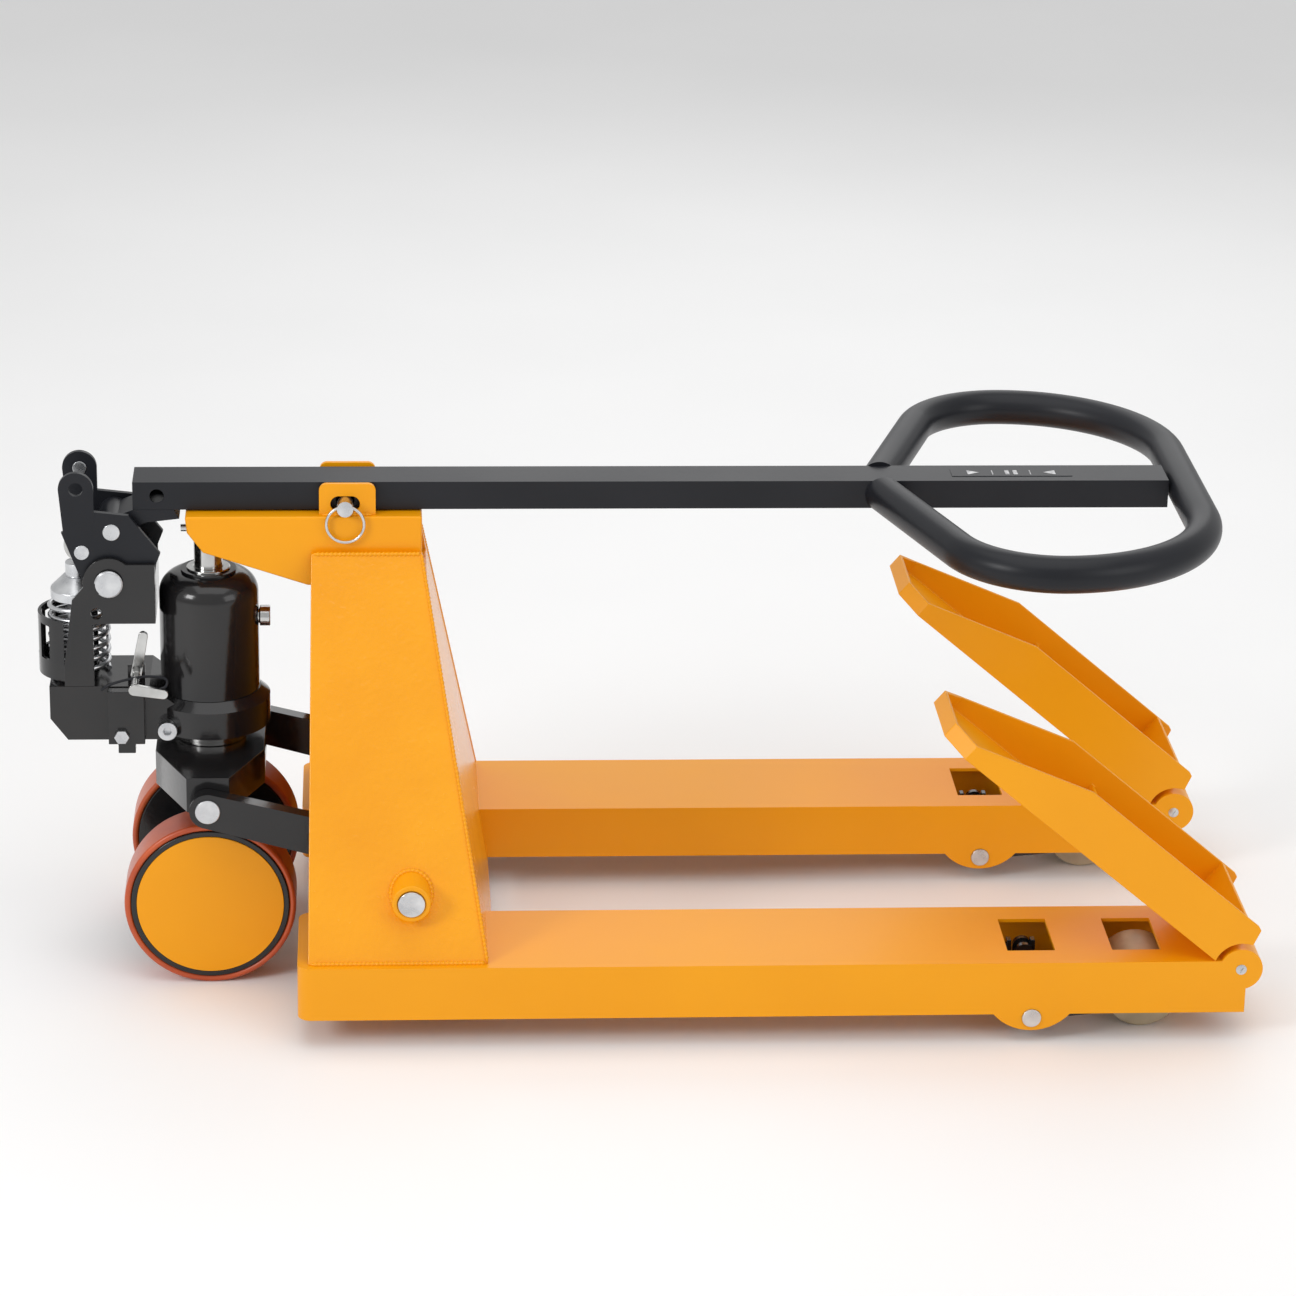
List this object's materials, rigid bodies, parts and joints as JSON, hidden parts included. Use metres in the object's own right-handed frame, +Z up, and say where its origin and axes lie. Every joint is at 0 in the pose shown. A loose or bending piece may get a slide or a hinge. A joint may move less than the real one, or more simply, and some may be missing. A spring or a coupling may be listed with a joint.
{
  "type": "folding hand pallet truck",
  "caption": "Folding hand pallet truck with a flat-folding drawbar, a hydraulic pump and fork halves that fold back.",
  "frame": {"origin": "on the floor, under the middle of the length and of the width", "axes": "+X from the pump along the forks, +Z up, -Y the right side seen from the pump"},
  "size_m": [1.2664, 0.576, 0.543],
  "materials": {
    "yellow_paint": "orange-yellow powder coat with fine orange peel",
    "gloss_black": "gloss black enamel on castings",
    "satin_black": "satin black powder coat",
    "zinc_plate": "zinc plated steel",
    "bright_steel": "bright turned steel",
    "polyurethane": "cast orange-red polyurethane",
    "nylon": "worn cast nylon"
  },
  "bodies": {
    "chassis": {"right_fork": "yellow_paint", "left_fork": "yellow_paint", "right_side_plate": "yellow_paint", "left_side_plate": "yellow_paint", "front_plate": "yellow_paint", "head": "yellow_paint", "latch_bracket": "yellow_paint", "socket_pin": "zinc_plate", "rocker_bosses": "yellow_paint", "rocker_pins": "zinc_plate", "tip_hinge_pins": "zinc_plate", "roller_pivot_pins": "zinc_plate"},
    "rocker": {"rocker": "gloss_black", "rear_rod_pins": "bright_steel"},
    "yoke": {"trunnion_yoke": "gloss_black", "trunnion_pins": "zinc_plate", "thrust_bearing": "bright_steel"},
    "pump": {"pump_base": "gloss_black", "reservoir": "gloss_black", "ram_gland": "bright_steel", "filler_plug": "bright_steel", "wheel_axle": "bright_steel", "lever_bracket": "gloss_black", "lever_pivot_pin": "zinc_plate", "piston_spring": "zinc_plate", "spring_guard": "gloss_black", "valve_lug": "gloss_black", "base_fasteners": "zinc_plate"},
    "ram": {"ram": "bright_steel"},
    "piston": {"pump_piston": "zinc_plate"},
    "release": {"release_lever": "bright_steel"},
    "right_wheel": {"right_wheel_rim": "gloss_black", "right_wheel_tyre": "polyurethane", "right_wheel_cover": "yellow_paint", "right_wheel_bearings": "bright_steel"},
    "left_wheel": {"left_wheel_rim": "gloss_black", "left_wheel_tyre": "polyurethane", "left_wheel_cover": "yellow_paint", "left_wheel_bearings": "bright_steel"},
    "lever": {"pump_lever": "satin_black", "lever_pins": "zinc_plate", "pressure_roller": "bright_steel"},
    "lock_plunger": {"handle_lock_plunger": "zinc_plate"},
    "drawbar": {"drawbar_tube": "satin_black", "grip_loop": "satin_black", "fold_block": "satin_black", "position_plate": "satin_black"},
    "latch": {"latch_pin": "zinc_plate"},
    "ring": {"split_ring": "zinc_plate"},
    "right_rod": {"right_push_rod": "gloss_black"},
    "left_rod": {"left_push_rod": "gloss_black"},
    "right_roller_arm": {"right_roller_frame": "gloss_black", "right_roller_axle": "zinc_plate"},
    "left_roller_arm": {"left_roller_frame": "gloss_black", "left_roller_axle": "zinc_plate"},
    "right_roller": {"right_load_roller": "nylon"},
    "left_roller": {"left_load_roller": "nylon"},
    "right_tip": {"right_fork_tip": "yellow_paint"},
    "left_tip": {"left_fork_tip": "yellow_paint"}
  },
  "joints": [
    {"name": "lift", "type": "hinge", "parent": "chassis", "child": "rocker", "pos_m": [-0.24465, 0, 0.153], "axis": [0, -1, 0], "range_deg": [0, 29.41]},
    {"name": "yoke_tilt", "type": "hinge", "parent": "rocker", "child": "yoke", "pos_m": [-0.45425, 0, 0.208], "axis": [0, -1, 0], "range_deg": [-29.5, 0]},
    {"name": "steer", "type": "hinge", "parent": "yoke", "child": "pump", "pos_m": [-0.45425, 0, 0], "axis": [0, 0, 1], "range_deg": [-2, 2]},
    {"name": "ram_lift", "type": "slide", "parent": "pump", "child": "ram", "axis": [0, 0, 1], "range_m": [0, 0.1105]},
    {"name": "piston_stroke", "type": "slide", "parent": "pump", "child": "piston", "axis": [0, 0, -1], "range_m": [0, 0.0535], "deforming": ["piston_spring"]},
    {"name": "release", "type": "hinge", "parent": "pump", "child": "release", "pos_m": [-0.53025, 0, 0.319], "axis": [0, 1, 0], "range_deg": [0, 12], "stiffness_Nm_per_rad": 0.3},
    {"name": "right_wheel_spin", "type": "hinge", "parent": "pump", "child": "right_wheel", "pos_m": [-0.45425, -0.088, 0.09], "axis": [0, 1, 0], "continuous": true},
    {"name": "left_wheel_spin", "type": "hinge", "parent": "pump", "child": "left_wheel", "pos_m": [-0.45425, 0.088, 0.09], "axis": [0, 1, 0], "continuous": true},
    {"name": "lever_sweep", "type": "hinge", "parent": "pump", "child": "lever", "pos_m": [-0.55575, 0, 0.4248], "axis": [0, -1, 0], "range_deg": [0, 80.1]},
    {"name": "lock_plunger_press", "type": "slide", "parent": "lever", "child": "lock_plunger", "axis": [0, -1, 0], "range_m": [0, 0.012]},
    {"name": "handle_fold", "type": "hinge", "parent": "lever", "child": "drawbar", "pos_m": [-0.55225, 0, 0.478], "axis": [0, -1, 0], "range_deg": [0, 90]},
    {"name": "latch_pin_press", "type": "slide", "parent": "chassis", "child": "latch", "axis": [0, 1, 0], "range_m": [0, 0.011]},
    {"name": "ring_swing", "type": "hinge", "parent": "latch", "child": "ring", "pos_m": [-0.31075, -0.048, 0.5083], "axis": [-1, 0, 0], "range_deg": [0, 35.5]},
    {"name": "right_rod_swing", "type": "hinge", "parent": "rocker", "child": "right_rod", "pos_m": [-0.24465, -0.1954, 0.0695], "axis": [0, -1, 0], "range_deg": [-32.4, 0]},
    {"name": "left_rod_swing", "type": "hinge", "parent": "rocker", "child": "left_rod", "pos_m": [-0.24465, 0.1954, 0.0695], "axis": [0, -1, 0], "range_deg": [-32.4, 0]},
    {"name": "right_roller_arm_swing", "type": "hinge", "parent": "chassis", "child": "right_roller_arm", "pos_m": [0.39505, -0.205, 0.0277], "axis": [0, 1, 0], "range_deg": [0, 59.2]},
    {"name": "left_roller_arm_swing", "type": "hinge", "parent": "chassis", "child": "left_roller_arm", "pos_m": [0.39505, 0.205, 0.0277], "axis": [0, 1, 0], "range_deg": [0, 59.2]},
    {"name": "right_roller_spin", "type": "hinge", "parent": "right_roller_arm", "child": "right_roller", "pos_m": [0.51635, -0.205, 0.04], "axis": [0, 1, 0], "continuous": true},
    {"name": "left_roller_spin", "type": "hinge", "parent": "left_roller_arm", "child": "left_roller", "pos_m": [0.51635, 0.205, 0.04], "axis": [0, 1, 0], "continuous": true},
    {"name": "right_tip_fold", "type": "hinge", "parent": "chassis", "child": "right_tip", "pos_m": [0.61075, -0.205, 0.0805], "axis": [0, 1, 0], "range_deg": [0, 140]},
    {"name": "left_tip_fold", "type": "hinge", "parent": "chassis", "child": "left_tip", "pos_m": [0.61075, 0.205, 0.0805], "axis": [0, 1, 0], "range_deg": [0, 140]}
  ],
  "couplings": [
    {"joint": "yoke_tilt", "follows": "lift", "ratio": -1},
    {"joint": "ram_lift", "follows": "lift", "m_per_rad": 0.2143},
    {"joint": "piston_stroke", "follows": "lift", "m_per_rad": 0.10325},
    {"joint": "lever_sweep", "follows": "lift", "ratio": 2.7202},
    {"joint": "right_rod_swing", "follows": "lift", "ratio": -1.0953},
    {"joint": "left_rod_swing", "follows": "lift", "ratio": -1.0953},
    {"joint": "right_roller_arm_swing", "follows": "lift", "ratio": 2.008},
    {"joint": "left_roller_arm_swing", "follows": "lift", "ratio": 2.008},
    {"joint": "ring_swing", "follows": "latch_pin_press", "rad_per_m": 55.533}
  ]
}
